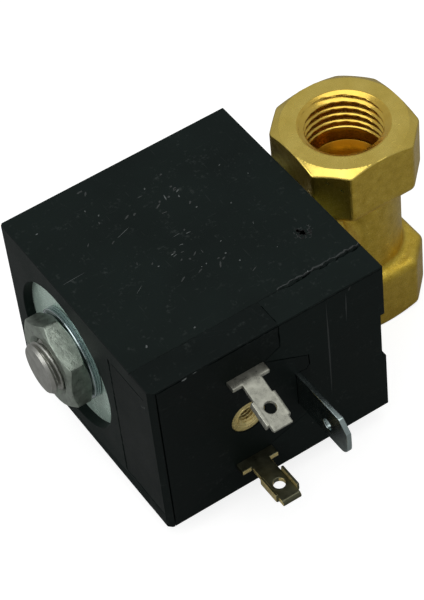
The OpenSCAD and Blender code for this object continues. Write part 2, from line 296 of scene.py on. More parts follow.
def join(pieces, name):
    """One object from several, keeping each one's materials and sharp edges."""
    with bpy.context.temp_override(
        active_object=pieces[0], object=pieces[0], selected_objects=pieces, selected_editable_objects=pieces
    ):
        bpy.ops.object.join()
    pieces[0].name = name
    return pieces[0]


# ------------------------------------------------------------------ materials

class Shader:
    """A Principled material that is built up from procedural nodes placed in the object's own space."""

    def __init__(self, name, **values):
        self.material = bpy.data.materials.new(name)
        self.material.use_nodes = True
        self.nodes = self.material.node_tree.nodes
        self.links = self.material.node_tree.links
        self.surface = self.nodes["Principled BSDF"]
        self.place = self.add("ShaderNodeTexCoord").outputs["Object"]
        for key, value in values.items():
            self.put(self.surface.inputs[key.replace("_", " ")], value)

    def add(self, kind, inputs=None, **settings):
        node = self.nodes.new(kind)
        for key, value in settings.items():
            setattr(node, key, value)
        for key, value in (inputs or {}).items():
            self.put(node.inputs[key], value)
        return node

    def put(self, socket, value):
        if isinstance(value, bpy.types.NodeSocket):
            self.links.new(value, socket)
        elif socket.type == "RGBA" and len(value) == 3:
            socket.default_value = (*value, 1)
        else:
            socket.default_value = value

    def noise(self, size, detail=2.0, rough=0.5, stretch=(1, 1, 1), shift=(0, 0, 0)):
        """Noise from 0 to 1 with blotches about size millimetres across, longer by stretch."""
        scale = tuple(1 / (size * MM * s) for s in stretch)
        placed = self.add("ShaderNodeMapping", {"Vector": self.place, "Scale": scale, "Location": shift})
        texture = self.add(
            "ShaderNodeTexNoise",
            {"Vector": placed.outputs[0], "Scale": 1.0, "Detail": detail, "Roughness": rough},
        )
        return texture.outputs["Fac"]

    def ramp(self, value, low, high, to_low=0.0, to_high=1.0):
        node = self.add(
            "ShaderNodeMapRange",
            {"Value": value, "From Min": low, "From Max": high, "To Min": to_low, "To Max": to_high},
        )
        return node.outputs[0]

    def math(self, operation, a, b=0.0):
        node = self.add("ShaderNodeMath", operation=operation)
        self.put(node.inputs[0], a)
        self.put(node.inputs[1], b)
        return node.outputs[0]

    def blend(self, factor, a, b):
        """A colour between a and b."""
        node = self.add("ShaderNodeMix", data_type="RGBA")
        self.put(node.inputs[0], factor)
        self.put(node.inputs[6], a)
        self.put(node.inputs[7], b)
        return node.outputs[2]

    def axis(self, name):
        return self.add("ShaderNodeSeparateXYZ", {"Vector": self.place}).outputs[name]

    def colour(self, value):
        self.put(self.surface.inputs["Base Color"], value)

    def roughness(self, value):
        self.put(self.surface.inputs["Roughness"], value)

    def bump(self, height, depth, strength=1.0):
        """Adds relief: height from 0 to 1 stands for depth millimetres."""
        inputs = {"Height": height, "Distance": depth * MM, "Strength": strength}
        normal = self.surface.inputs["Normal"]
        if normal.is_linked:
            inputs["Normal"] = normal.links[0].from_socket
        self.put(normal, self.add("ShaderNodeBump", inputs).outputs[0])


def moulding(name, colour, light):
    """Black glass-filled plastic: a fine sanded grain, cloudy sheen, faint scuffs and hairline scratches."""
    s = Shader(name, Specular_IOR_Level=0.08)
    cloud = s.noise(9, 3)
    fine = s.noise(0.35, 3, 0.6)
    grain = s.noise(0.12, 2)
    scuff = s.ramp(s.math("MULTIPLY", s.noise(2.4, 4, 0.7), s.noise(0.5, 2)), 0.33, 0.5)
    hair = s.ramp(s.noise(0.1, 1, 0.3, (28, 1.2, 1.2), (3.1, 0.7, 0)), 0.735, 0.78)
    hair_b = s.ramp(s.noise(0.1, 1, 0.3, (1.5, 24, 1.5), (0.4, 5.1, 0)), 0.745, 0.79)
    marks = s.math("MAXIMUM", s.math("MULTIPLY", hair, 0.16), s.math("MULTIPLY", hair_b, 0.12))
    marks = s.math("MAXIMUM", marks, s.math("MULTIPLY", scuff, 0.3))
    tone = s.blend(s.ramp(cloud, 0.3, 0.7), colour, tuple(c * 1.35 for c in colour))
    s.colour(s.blend(marks, tone, light))
    s.roughness(s.ramp(s.math("ADD", s.math("MULTIPLY", cloud, 0.7), s.math("MULTIPLY", fine, 0.3)),
                       0.3, 0.7, 0.42, 0.58))
    s.bump(grain, 0.010)
    s.bump(fine, 0.012)
    s.bump(cloud, 0.05)
    return s.material


def chipped(name, colour):
    """Raw, pale plastic where the skin is broken. With a near-black colour it also serves as painted shade,
    along an edge and in the pit's dents.
    """
    s = Shader(name, Roughness=0.75, Specular_IOR_Level=0.3)
    s.colour(s.blend(s.noise(0.2, 3), tuple(c * 0.45 for c in colour), colour))
    s.bump(s.noise(0.15, 3), 0.05)
    return s.material


def body_brass(name):
    """Brass as forged and tumbled, sandy with rubbed high spots, and turned bright on its end cones."""
    s = Shader(name, Metallic=1.0)
    away = s.math("SQRT", s.math("ADD", s.math("POWER", s.axis("X"), 2.0), s.math("POWER", s.axis("Y"), 2.0)))
    depth = s.math("SUBTRACT", BODY_H / 2 * MM,
                   s.math("ABSOLUTE", s.math("SUBTRACT", s.axis("Z"), BODY_H / 2 * MM)))
    slope = s.math("MULTIPLY", s.math("MAXIMUM", s.math("SUBTRACT", away, LAND_R * MM), 0.0), CONE)
    turned = s.ramp(s.math("SUBTRACT", depth, slope), 0.15 * MM, 0.09 * MM)
    rough = s.math("SUBTRACT", 1.0, turned)

    patch = s.noise(1.3, 4, 0.65)
    grit = s.noise(0.14, 2, 0.6)
    forged = s.blend(s.ramp(patch, 0.32, 0.68), (0.56, 0.37, 0.034), (0.76, 0.54, 0.075))
    forged = s.blend(s.ramp(grit, 0.52, 0.72), forged, (0.88, 0.66, 0.15))
    bright = s.blend(s.ramp(s.noise(3.5, 3), 0.3, 0.7), (0.76, 0.56, 0.115), (0.87, 0.66, 0.16))
    s.colour(s.blend(turned, forged, bright))
    dull = s.ramp(patch, 0.3, 0.7, 0.37, 0.26)
    keen = s.ramp(s.noise(0.8, 3), 0.3, 0.7, 0.20, 0.33)
    s.roughness(s.math("ADD", s.math("MULTIPLY", dull, rough), s.math("MULTIPLY", keen, turned)))
    s.bump(s.noise(2.6, 2), 0.05, rough)
    s.bump(s.noise(0.34, 3, 0.6), 0.055, rough)
    s.bump(grit, 0.040, rough)
    # tool rings and a few dents on the turned faces
    ring = s.add("ShaderNodeTexNoise", {"Scale": 1 / (0.09 * MM), "Detail": 2.0, "W": away},
                 noise_dimensions="1D").outputs["Fac"]
    s.bump(ring, 0.003, turned)
    s.bump(s.ramp(s.noise(0.7, 2, 0.4), 0.24, 0.14), 0.05, turned)
    return s.material


def cut_brass(name):
    """The tapped bore of a port: smooth, deep gold."""
    s = Shader(name, Metallic=1.0)
    tone = s.blend(s.noise(1.5, 3), (0.68, 0.43, 0.06), (0.84, 0.60, 0.13))
    # past the thread the bore is painted a darker brown: painted shade deep in the bore
    from_middle = s.math("ABSOLUTE", s.math("SUBTRACT", s.axis("Z"), BODY_H / 2 * MM))
    open_end = BODY_H / 2 - THREAD_END
    in_thread = s.ramp(from_middle, (open_end - 0.4) * MM, (open_end + 0.4) * MM)
    s.colour(s.blend(in_thread, (0.40, 0.235, 0.028), tone))
    s.roughness(s.ramp(s.noise(0.5, 2), 0.3, 0.7, 0.16, 0.26))
    s.bump(s.noise(0.12, 1, 0.5, (6, 6, 1)), 0.006)
    return s.material


def plated(name, colour, roughness, blotch, relief=0.012, size=1.6, metallic=1.0):
    """Zinc, tin or plain metal plate: cloudy, slightly uneven, with fine rubbing marks."""
    s = Shader(name, Metallic=metallic)
    cloud = s.noise(size, 4, 0.6)
    fine = s.noise(0.16, 3, 0.65)
    dark = tuple(c * (1 - blotch) for c in colour)
    s.colour(s.blend(s.ramp(cloud, 0.33, 0.67), dark, colour))
    s.roughness(s.ramp(s.math("ADD", s.math("MULTIPLY", cloud, 0.6), s.math("MULTIPLY", fine, 0.4)),
                       0.35, 0.65, roughness * 0.8, roughness * 1.25))
    s.bump(fine, relief)
    s.bump(cloud, relief * 2)
    return s.material


def soft(name, colour, roughness, **values):
    """Rubber, nylon or enamel: one colour with a little cloudiness and grain."""
    s = Shader(name, **values)
    s.colour(s.blend(s.noise(1.5, 3), tuple(c * 0.8 for c in colour), colour))
    s.roughness(s.ramp(s.noise(0.25, 2), 0.3, 0.7, roughness * 0.9, roughness * 1.1))
    s.bump(s.noise(0.25, 3), 0.01)
    return s.material


def wound(name):
    """Enamelled wire in close turns along the solenoid axis."""
    s = Shader(name, Metallic=1.0)
    turns = s.math("SINE", s.math("MULTIPLY", s.axis("X"), 2 * math.pi / (0.16 * MM)))
    s.colour(s.blend(s.noise(1.2, 3), (0.40, 0.13, 0.045), (0.62, 0.25, 0.09)))
    s.roughness(s.ramp(s.noise(0.4, 2), 0.3, 0.7, 0.26, 0.36))
    s.bump(s.ramp(turns, -1, 1), 0.05)
    return s.material


def turned_steel(name, colour, roughness):
    """Steel off the lathe, with rings about the solenoid axis."""
    s = Shader(name, Metallic=1.0)
    away = s.math("SQRT", s.math("ADD", s.math("POWER", s.axis("Y"), 2.0),
                                 s.math("POWER", s.math("SUBTRACT", s.axis("Z"), AXIS_Z * MM), 2.0)))
    ring = s.add("ShaderNodeTexNoise", {"Scale": 1 / (0.12 * MM), "Detail": 2.0, "W": away},
                 noise_dimensions="1D").outputs["Fac"]
    cloud = s.noise(1.4, 4, 0.6)
    s.colour(s.blend(s.ramp(cloud, 0.3, 0.7), tuple(c * 0.72 for c in colour), colour))
    s.roughness(s.ramp(cloud, 0.3, 0.7, roughness * 1.3, roughness * 0.8))
    s.bump(ring, 0.006)
    s.bump(s.noise(0.18, 3), 0.010)
    return s.material


BLACK = moulding("black_moulding", (0.0048, 0.0082, 0.0072), (0.060, 0.068, 0.064))
BLOCK_BLACK = moulding("black_block", (0.0032, 0.0056, 0.0050), (0.050, 0.058, 0.054))
RAW = chipped("chipped_edge", (0.24, 0.26, 0.25))
PALE = chipped("pale_scuff", (0.115, 0.128, 0.124))
GHOST = chipped("ghost_mark", (0.042, 0.048, 0.046))
# near-black colour for the rounded edge between nut face and top: painted shade
EDGE_SHADE = chipped("edge_painted_shade", (0.0015, 0.0018, 0.0018))
LIP = chipped("torn_lip", (0.045, 0.051, 0.050))
# near-black colour for the flat patches that stand for the pit's dents: painted shade
DENT_SHADE = chipped("dent_painted_shade", (0.003, 0.003, 0.003))
BRASS = body_brass("valve_brass")
TAPPED = cut_brass("tapped_brass")
ZINC = plated("zinc_nut", (0.40, 0.455, 0.39), 0.34, 0.36, 0.035, 1.1)
ZINC_WASHER = plated("zinc_washer", (0.55, 0.64, 0.66), 0.22, 0.25)
ZINC_PLATE = plated("zinc_plate", (0.60, 0.76, 0.67), 0.25, 0.12, 0.004, 4.0, 0.45)
ZINC_BLADE = plated("zinc_blade", (0.42, 0.50, 0.49), 0.20, 0.25, 0.006)
TIN = plated("tinned_brass", (0.34, 0.34, 0.285), 0.30, 0.50, 0.012, 1.3, 0.75)
# a lighter copy of the tin above, for the upper tab's edge faces: painted highlight
TIN_EDGE_HIGHLIGHT = plated("tin_edge_painted_highlight", (0.60, 0.60, 0.51), 0.26, 0.40, 0.02, 0.8, 0.6)
# a darker, olive tin for the lower tab, which lies under the upper one: painted shade
SHADED_TAB_TIN = plated("lower_tab_painted_shade", (0.15, 0.15, 0.095), 0.34, 0.40, 0.02)
BARE = plated("bare_brass", (0.88, 0.71, 0.30), 0.28, 0.30, 0.015, 1.6, 0.7)
STEEL = turned_steel("stud_steel", (0.50, 0.50, 0.46), 0.34)
TUBE = turned_steel("tube_steel", (0.60, 0.60, 0.59), 0.25)
COPPER = soft("copper", (0.80, 0.36, 0.20), 0.25, Metallic=1.0)
RUBBER = soft("rubber", (0.018, 0.018, 0.018), 0.65)
NYLON = soft("bobbin_nylon", (0.66, 0.62, 0.50), 0.45)
WIRE = wound("enamelled_wire")


# ------------------------------------------------------------------ brass body

def thread_wave(phase):
    """Depth of a rounded vee thread's groove, from 0 at its crest to 1 at its root."""
    tri = 1 - np.abs(2 * (phase % 1.0) - 1)
    flat = np.clip((tri - 0.13) / 0.74, 0, 1)
    return 0.5 * flat + 0.5 * flat * flat * (3 - 2 * flat)


def port_radius(depth, angle):
    """The radius of a port at a depth: the countersunk mouth, then the thread, fading out at its end."""
    sink = MOUTH_R - np.clip(depth, 0, None) / 0.6
    fade = np.clip((THREAD_END - depth) / 0.7, 0, 1)
    start = math.radians(62)  # where a crest lies FIRST_CREST below the mouth
    groove = thread_wave((depth - FIRST_CREST) / PITCH + (angle - start) / (2 * math.pi))
    return np.maximum(sink, CREST_R + (ROOT_R - CREST_R) * groove * fade)


def port_wall():
    """The inside of one port, with its mouth at z = 0 and running to -Z."""

    def radius(key, angle):
        return np.full_like(angle, MOUTH_R + 0.1) if key is None else port_radius(key, angle)

    past_thread = np.linspace(THREAD_END + 0.1, BORE_DEPTH - 0.12, 8)
    depths = np.concatenate([np.linspace(0, THREAD_END, 104), past_thread])
    rows = [(0.0, None), (0.0, 0.0)] + [(-d, d) for d in depths]
    verts, _ = wall(radius, rows)
    floor = [ring(CREST_R - 0.03, -BORE_DEPTH + 0.03), ring(CREST_R - 0.12, -BORE_DEPTH),
             ring(2.9, -BORE_DEPTH - 0.02), ring(0.02, -BORE_DEPTH - 0.04)]
    return np.concatenate([verts] + floor), bands(len(rows) + len(floor), ROUND)


def body_field(x, y, z):
    """The forging: two cut-cornered blocks, a round neck and the boss for the guide tube."""
    r = np.sqrt(x * x + y * y)
    side = smooth_max(np.abs(x) - HALF_AF, np.abs(y) - HALF_AF, 0.3)
    corner = (np.abs(x) + np.abs(y) - (2 * HALF_AF - CORNER_CUT)) * math.sqrt(0.5)
    section = smooth_max(side, corner, 0.35)
    half = z - BODY_H / 2
    inner = (BODY_H / 2 - BLOCK_H) - np.abs(half)
    blocks = smooth_max(section, inner, 1.5)
    neck = r - NECK_R
    body = smooth_min(blocks, neck, 1.3)
    axial = np.sqrt(y * y + (z - AXIS_Z) ** 2)
    boss = smooth_max(axial - (HALF_AF - 0.06), np.maximum(BODY_LO[0] - x, x + 6.0), 0.5)
    taper = np.maximum(np.maximum(axial - (HALF_AF - 0.05) - (-6.4 - x) * 0.72, -6.9 - x), x + 2)
    body = smooth_min(body, smooth_min(boss, taper, 0.6), 0.9)
    end = np.abs(half) - BODY_H / 2
    cone = (end + (r - LAND_R) * CONE) * math.cos(math.radians(30))
    body = smooth_max(body, np.maximum(end, cone), 0.2)
    port = np.maximum(r - (MOUTH_R + 0.05), BODY_H / 2 - BORE_DEPTH - 0.3 - np.abs(half))
    socket_r, socket_x = 7.0, -6.2  # the hole that takes the tube's collar
    socket = np.maximum(axial - socket_r, x - socket_x)
    return np.maximum(np.maximum(body, -port), -socket)


def build_valve_body():
    """The forging and its two ports, as one piece."""
    low = (BODY_LO[0], BODY_LO[1], 0)
    verts, faces = surface_net(body_field, low, (BODY_HI[0], BODY_HI[1], BODY_H), BODY_NET)
    # the net rounds the turned ends a little, so their points go back onto planes just under the rims
    verts[:, 2] = np.where(verts[:, 2] > BODY_H - 0.05, BODY_H - RIM, verts[:, 2])
    verts[:, 2] = np.where(verts[:, 2] < 0.05, RIM, verts[:, 2])
    shell = new_object("shell", verts, faces, [BRASS])
    v, f = port_wall()
    upper = new_object("upper", v + (0, 0, BODY_H), f, [TAPPED])
    turned = v.copy()
    turned[:, 1:] *= -1  # a half turn about X keeps the thread right-handed
    lower = new_object("lower", turned, f, [TAPPED])
    body = join([shell, upper, lower], "forged_body")
    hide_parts("valve_body")
    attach(body, "valve")


# ------------------------------------------------------------------ nut, stud and washer

def build_nut():
    """A thin hexagon nut, chamfered at both ends, with a countersunk, threaded hole."""
    flat = 6.5  # from the axis to a side
    thick = NUT_HI[0] - NUT_LO[0]
    turns = 360
    angle = np.linspace(0, 2 * math.pi, turns, endpoint=False)
    vertex = math.radians(28)
    local = (angle - vertex + math.pi / 6) % (math.pi / 3) - math.pi / 6
    # distance to the hexagon's side, with its corners rounded a little
    hexagon = flat / np.cos(math.pi / 6 - np.abs(local))
    hexagon = np.minimum(hexagon, flat / math.cos(math.pi / 6) - 0.12)
    edge = flat - 0.05
    drop = np.clip(hexagon - edge, 0, None) * CONE
    inner = 4.02
    sink = 4.75
    rows = [(0.55, inner), (0.0, sink), (0.0, edge - 0.25), (0.03, edge),
            (drop, hexagon - 0.06), (drop + 0.10, hexagon),
            (thick - drop - 0.10, hexagon), (thick - drop, hexagon - 0.06),
            (thick - 0.03, edge), (thick, edge - 0.25), (thick, sink), (thick - 0.55, inner)]
    verts = []
    for z, r in rows:
        verts.append(np.stack([r * np.sin(angle), r * np.cos(angle), np.broadcast_to(z, turns)], 1))
    verts = np.concatenate(verts)
    faces = bands(len(rows), turns, closed=True)
    nut = new_object("hex_nut", along_x(verts, NUT_HI[0]), faces, [ZINC], sharp=20)
    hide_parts("coil_nut")
    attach(nut, "valve")


def build_core():
    """The fixed pole with its threaded stud."""
    length = CORE_HI[0] - CORE_LO[0]
    shoulder = box_mm("guide_tube")[0][0]
    stud = shoulder - CORE_LO[0] + 0.4
    core_r = 5.08
    # the pole face, with the groove that holds the shading ring
    pole = [(0.0, 0.01), (0.0, 3.38), (1.2, 3.38), (1.2, 4.32), (0.0, 4.32), (0.0, core_r - 0.15),
            (0.15, core_r), (length - stud, core_r), (length - stud, 0.01)]
    verts, faces = lathe(pole)
    parts = [(along_x(verts, CORE_HI[0]), faces)]
    # the stud, from the shoulder to its chamfered end
    pitch, depth, r0 = 1.25, 0.62, 4.0
    end_chamfer = 0.5
    total = stud + 0.1

    def radius(key, angle):
        if key is None:
            return np.full_like(angle, 0.01)
        groove = thread_wave(key / pitch - angle / (2 * math.pi) + 0.32)
        fade = np.clip((total - key - 0.45) / 0.35, 0, 1)
        limit = r0 - np.clip(key - (total - end_chamfer), 0, None) * 0.75
        return np.minimum(limit, r0 - depth * groove * fade)

    rows = [(z, z) for z in np.linspace(0, total, 110)]
    verts, _ = wall(radius, rows)
    rim = radius(total, np.linspace(0, 2 * math.pi, ROUND, endpoint=False))
    face = [ring(rim * share, total + dome - 0.02)
            for share, dome in ((0.985, 0.012), (0.7, 0.02), (0.35, 0.02), (0.003, 0.02))]
    verts = np.concatenate([verts] + face)
    faces = bands(len(rows) + len(face), ROUND)
    parts.append((along_x(verts, CORE_LO[0] + total), faces))
    v, f = merge(parts)
    core = new_object("pole_and_stud", v, f, [STEEL])
    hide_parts("fixed_core")
    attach(core, "valve")


def build_washer():
    """A washer with stepped, rolled edges."""
    outer = (WASHER_HI[1] - WASHER_LO[1]) / 2
    thick = WASHER_HI[0] - WASHER_LO[0]
    hole = 4.2
    profile = [(0.05, hole), (0.0, 4.25), (0.0, outer - 0.3), (0.08, outer - 0.08), (0.2, outer),
               (0.38, outer), (0.44, outer - 0.10), (0.50, outer), (0.72, outer), (0.78, outer - 0.14),
               (0.84, outer - 0.03), (thick - 0.12, outer - 0.03), (thick - 0.03, outer - 0.13),
               (thick, outer - 0.35), (thick, 4.25), (thick - 0.05, hole)]
    verts, faces = lathe(profile, 220)
    washer = new_object("spring_washer", along_x(verts, WASHER_HI[0]), faces, [ZINC_WASHER])
    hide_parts("coil_washer")
    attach(washer, "valve")


# ------------------------------------------------------------------ coil moulding

def on_face(face, u, v, depth):
    """A point on the coil's top, terminal or nut face, sunk in by depth. u and v are X and Y on the top.
    v is the height above the solenoid axis on the other two, with u along X or Y."""
    if face == "top":
        return (u, v, TOP_Z - depth)
    if face == "terminal":
        return (u, FACE_Y + depth, AXIS_Z + v)
    return (REAR_X + depth, u, AXIS_Z + v)


def groove(face, path, width, depth, ragged=0.0, seed=0):
    """A cutter for a seam along a path on a face. ragged is how far its edges wander."""
    rng = random.Random(seed)
    points = [np.array(path[0], float)]
    for a, b in zip(path, path[1:]):
        a, b = np.array(a, float), np.array(b, float)
        steps = max(1, round(np.linalg.norm(b - a) / (0.55 if ragged else 2.5)))
        points += [a + (b - a) * (i + 1) / steps for i in range(steps)]
    verts = []
    for i, p in enumerate(points):
        ahead = points[min(i + 1, len(points) - 1)] - points[max(i - 1, 0)]
        across = np.array([-ahead[1], ahead[0]]) / np.linalg.norm(ahead)
        inner = 0 < i < len(points) - 1
        p = p + across * rng.uniform(-ragged, ragged) * inner
        half = width / 2 * (rng.uniform(0.55, 1.45) if ragged else 1.0) * (1.0 if inner else 0.6)
        for side, d in ((-half, -0.25), (half, -0.25), (half * 0.7, depth), (-half * 0.7, depth)):
            verts.append(on_face(face, *(p + across * side), d))
    count = len(points)
    faces = bands(count, 4)
    faces += [(3, 2, 1, 0), tuple(range(4 * count - 4, 4 * count))]
    return new_object("groove", verts, faces, [])


def jagged(start, stop, step, seed, swing):
    """Places from start to stop with random offsets, for torn edges."""
    rng = random.Random(seed)
    count = max(2, round(abs(stop - start) / step))
    return [(start + (stop - start) * i / count, rng.uniform(-swing, swing)) for i in range(count + 1)]


def fleck(centre, long, wide, turn, face, seed):
    """A ragged speck, a hair above the top, terminal or nut face."""
    rng = random.Random(seed)
    sides = 11
    lift = 0.02
    c, s = math.cos(math.radians(turn)), math.sin(math.radians(turn))
    points = []
    for k in range(sides):
        a = 2 * math.pi * k / sides
        u = long / 2 * math.cos(a) * rng.uniform(0.55, 1.1)
        v = wide / 2 * math.sin(a) * rng.uniform(0.55, 1.1)
        points.append(on_face(face, centre[0] + u * c - v * s, centre[1] + u * s + v * c, -lift))
    return np.array(points), [tuple(range(sides))]


def flecks(name, marks, face, material):
    """Specks as one object. Each mark is its place on the face, length, width and turn in degrees."""
    parts = [fleck((u, v), long, wide, turn, face, i) for i, (u, v, long, wide, turn) in enumerate(marks)]
    v, f = merge(parts)
    return new_object(name, v, f, [material])


STRIP_Y = FACE_Y + 5.0  # seam along the top, behind the terminal face
STEP_X = -28.4  # where the terminal block's strip ends
TEAR_X = -25.0  # where the seam along the top starts to gape
BLOCK_Y = -13.8  # upright seam on the nut face
BLOCK_V = 12.0  # half the height of the block on the nut face
NOTCH_X = -31.2  # where the arrow on the terminal face starts
SEAM_V = 14.36  # seam just under the upper edge of the terminal face
RECESS_R = 11.65  # recess about the nut


def shade_upper_edge(piece):
    """Gives the rounded edge between nut face and top the piece's second material, which is darker: a painted
    line of shade along that edge.
    """
    for polygon in piece.data.polygons:
        x, y, z = polygon.normal
        if x < -0.3 and z > 0.3 and abs(y) < 0.1 and polygon.center.x / MM < REAR_X + 0.4:
            polygon.material_index = 1


def face_seams():
    """Cutters for the seams between the housing and the terminal block. Both pieces are cut with them."""
    return [
        groove("terminal", [(STEP_X, 14.3), (STEP_X, 10.2), (NOTCH_X, 8.9)], 0.24, 0.5, 0.06, 12),
        groove("terminal", [(NOTCH_X, 8.85), (-24.05, 5.3), (-23.95, 3.4), (-24.6, 2.7), (-25.6, 2.9)],
               0.22, 0.5),
        groove("terminal", [(-24.8, -6.5), (NOTCH_X, -8.6)], 0.18, 0.4),
        groove("nut", [(BLOCK_Y, BLOCK_V + 0.2), (BLOCK_Y, -BLOCK_V)], 0.36, 0.9, 0.03, 5),
        groove("nut", [(BLOCK_Y - 0.8, BLOCK_V), (-22.7, BLOCK_V)], 0.22, 0.7),
        groove("nut", [(BLOCK_Y, -BLOCK_V), (-24.1, -BLOCK_V)], 0.30, 0.7),
    ]


def outer_edges(piece, rims=()):
    """Marks for bevelling the edges between the coil's outer faces, and round rims of one face, by radius."""
    bm = bmesh.new()
    bm.from_mesh(piece.data)
    weight = bm.edges.layers.float.new("bevel_weight_edge")
    planes = [(0, REAR_X), (0, FRONT_X), (1, FACE_Y), (1, COIL_HI[1]), (2, COIL_LO[2]), (2, TOP_Z)]
    for edge in bm.edges:
        a, b = (np.array(v.co) / MM for v in edge.verts)
        shared = sum(abs(a[k] - level) < 0.02 and abs(b[k] - level) < 0.02 for k, level in planes)
        sharp = len(edge.link_faces) == 2 and edge.calc_face_angle(0) > math.radians(38)
        away = [math.hypot(p[1], p[2] - AXIS_Z) for p in (a, b)]
        rim = shared == 1 and any(abs(away[0] - r) < 0.05 and abs(away[1] - r) < 0.05 for r in rims)
        if sharp and (shared >= 2 or rim):
            edge[weight] = 1.0
    bm.to_mesh(piece.data)
    bm.free()


def finish_moulding(piece, cutters, name, materials):
    """Cuts a softened moulding with its seams and takes the cutters away."""
    cut(piece, cutters)
    piece = applied(piece, name, materials)
    shade_upper_edge(piece)
    for cutter in cutters:
        bpy.data.objects.remove(cutter)
    return piece


def strip_seam(end):
    """The fine seam along the top, from the nut face to end."""
    return groove("top", [(REAR_X - 0.1, STRIP_Y + 0.02), (end, STRIP_Y + 0.02)], 0.15, 0.4, 0.05, 9)


def build_housing():
    """The coil's moulding, with its seams, torn lip, scuffs, specks and pit."""
    housing = from_node("coil_housing")
    outer_edges(housing, rims=[RECESS_R])
    soften(housing, 0.22)
    cutters = [
        groove("top", [(TEAR_X, STRIP_Y), (-20, STRIP_Y + 0.05), (FRONT_X + 0.1, STRIP_Y - 0.05)],
               0.52, 0.7, 0.20, 7),
        strip_seam(TEAR_X),
        groove("top", [(STEP_X, STRIP_Y), (STEP_X, FACE_Y + 0.4)], 0.20, 0.5, 0.06, 2),
        groove("terminal", [(STEP_X, SEAM_V), (FRONT_X + 0.1, SEAM_V)], 0.20, 0.5, 0.05, 11),
        *face_seams(),
    ]
    housing = finish_moulding(housing, cutters, "housing", [BLACK, EDGE_SHADE])

    # the torn lip that stands up along the crack
    rng = random.Random(3)
    lip_v, lip_f = [], []
    points = jagged(TEAR_X, FRONT_X - 0.1, 0.45, 21, 0.05)
    for i, (x, off) in enumerate(points):
        h = 0.16 * rng.random() ** 1.5 * min(1, i / 6)
        y = STRIP_Y + 0.27 + off * 2.4
        w = 0.16 + 0.25 * rng.random()
        lip_v += [(x, y - 0.03, TOP_Z - 0.12), (x, y, TOP_Z + h), (x, y + w * 0.5, TOP_Z + h * 0.7),
                  (x, y + w, TOP_Z - 0.02)]
    for i in range(len(points) - 1):
        for k in range(3):
            lip_f.append((i * 4 + k, i * 4 + k + 1, (i + 1) * 4 + k + 1, (i + 1) * 4 + k))
    lip = new_object("lip", lip_v, lip_f, [LIP])

    # specks on the top: distance from the nut face and from the far side, length, width and turn
    back = COIL_HI[1]
    top_marks = [
        (3.2, 5.0, 0.5, 0.25, 10), (10.9, 5.4, 0.45, 0.2, 60), (12.0, 7.3, 0.5, 0.22, 40),
        (19.9, 6.9, 0.5, 0.22, 70), (21.3, 10.1, 1.5, 0.22, 80), (23.4, 10.1, 0.7, 0.25, 30),
        (23.0, 11.1, 0.5, 0.25, 75), (23.8, 14.4, 0.5, 0.22, 20), (28.1, 16.7, 0.4, 0.22, 50),
        (18.2, 19.1, 0.8, 0.16, -10), (16.4, 20.3, 0.7, 0.16, 12), (13.5, 20.6, 0.4, 0.25, 0),
        (20.2, 17.8, 1.0, 0.14, -5), (22.9, 21.9, 0.35, 0.2, 30), (22.2, 24.2, 0.4, 0.3, 10),
        (19.0, 24.2, 0.3, 0.2, 50), (23.0, 26.5, 0.35, 0.25, 0), (4.4, 31.8, 0.6, 0.3, 50),
        (11.4, 32.9, 0.4, 0.3, 10), (12.8, 12.3, 3.2, 0.10, 18), (2.7, 15.4, 4.4, 0.07, 2),
        (18.6, 17.2, 1.6, 0.08, 6), (30.9, 9.5, 0.35, 0.2, 20), (33.2, 13.4, 0.3, 0.16, 70),
        (9.1, 22.6, 1.9, 0.06, 30), (28.4, 21.8, 0.7, 0.08, 64),
    ]
    top_marks = [(REAR_X + x, back - y, *rest) for x, y, *rest in top_marks]
    scatter = random.Random(8)
    scuffs = []
    # clusters: middle, by the same distances, spread and number
    for x, y, spread, number in ((22.5, 11, 2.0, 9), (16.5, 19.5, 2.2, 9), (20, 25, 2.6, 6), (12, 8, 4.5, 8)):
        for _ in range(number):
            scuffs.append((scatter.gauss(REAR_X + x, spread), scatter.gauss(back - y, spread),
                           scatter.uniform(0.4, 1.3), scatter.uniform(0.16, 0.42), scatter.gauss(25, 25)))
    specks = flecks("top_marks", top_marks, "top", PALE)
    top = join([specks, flecks("scuffs", scuffs, "top", GHOST)], "top_marks")
    bright = flecks("bright_marks", [
        (REAR_X + 16.2, back - 19.9, 0.5, 0.14, 14), (REAR_X + 29.2, STRIP_Y + 0.45, 0.3, 0.16, 20),
        (REAR_X + 18.2, back - 24.3, 0.16, 0.12, 0), (REAR_X + 28.5, back - 27.6, 0.14, 0.1, 0),
    ], "top", RAW)
    # moulding marks on the terminal face
    lines = flecks("face_marks", [
        (FRONT_X - 9.5, 4.0, 20.5, 0.30, 90), (FRONT_X - 6.3, 11.0, 6.6, 0.22, 88),
        (FRONT_X - 5.6, TOP_V - 0.75, 0.9, 0.35, 60), (FRONT_X - 5.0, 6.6, 0.16, 0.12, 0),
        (FRONT_X - 13.1, -9.4, 0.4, 0.3, 0),
    ], "terminal", GHOST)
    piece = join([housing, lip, top, bright, lines, *build_pit()], "moulded_housing")
    even_shading(piece)
    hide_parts("coil_housing")
    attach(piece, "coil")


def build_pit():
    """The chipped pit near the ports: flat near-black patches as painted shade in its dents, with pale flakes
    about them.
    """
    cx, cy = FRONT_X - 5.0, -12.9
    rng = random.Random(17)

    def bits(number, reach, long, wide, seed):
        """Specks strewn about the pit's middle, between two distances from it."""
        parts = []
        for k in range(number):
            a = rng.uniform(0, 2 * math.pi)
            d = rng.uniform(*reach)
            p = (cx + d * math.cos(a), cy + d * math.sin(a) * 0.9)
            size = rng.uniform(*long), rng.uniform(*wide)
            parts.append(fleck(p, *size, rng.uniform(0, 180), "top", seed + k))
        return parts

    pale = bits(34, (0.5, 1.6), (0.2, 0.55), (0.08, 0.22), 40)
    dark = bits(20, (0.0, 1.3), (0.5, 1.1), (0.2, 0.5), 90)
    v, f = merge(pale)
    flakes = new_object("pit", v, f, [GHOST])
    # the dark specks are flat patches a hair above the top: painted shade for the dents
    v, f = merge(dark)
    return [flakes, new_object("pit_dent_shade", v + (0, 0, 0.006), f, [DENT_SHADE])]


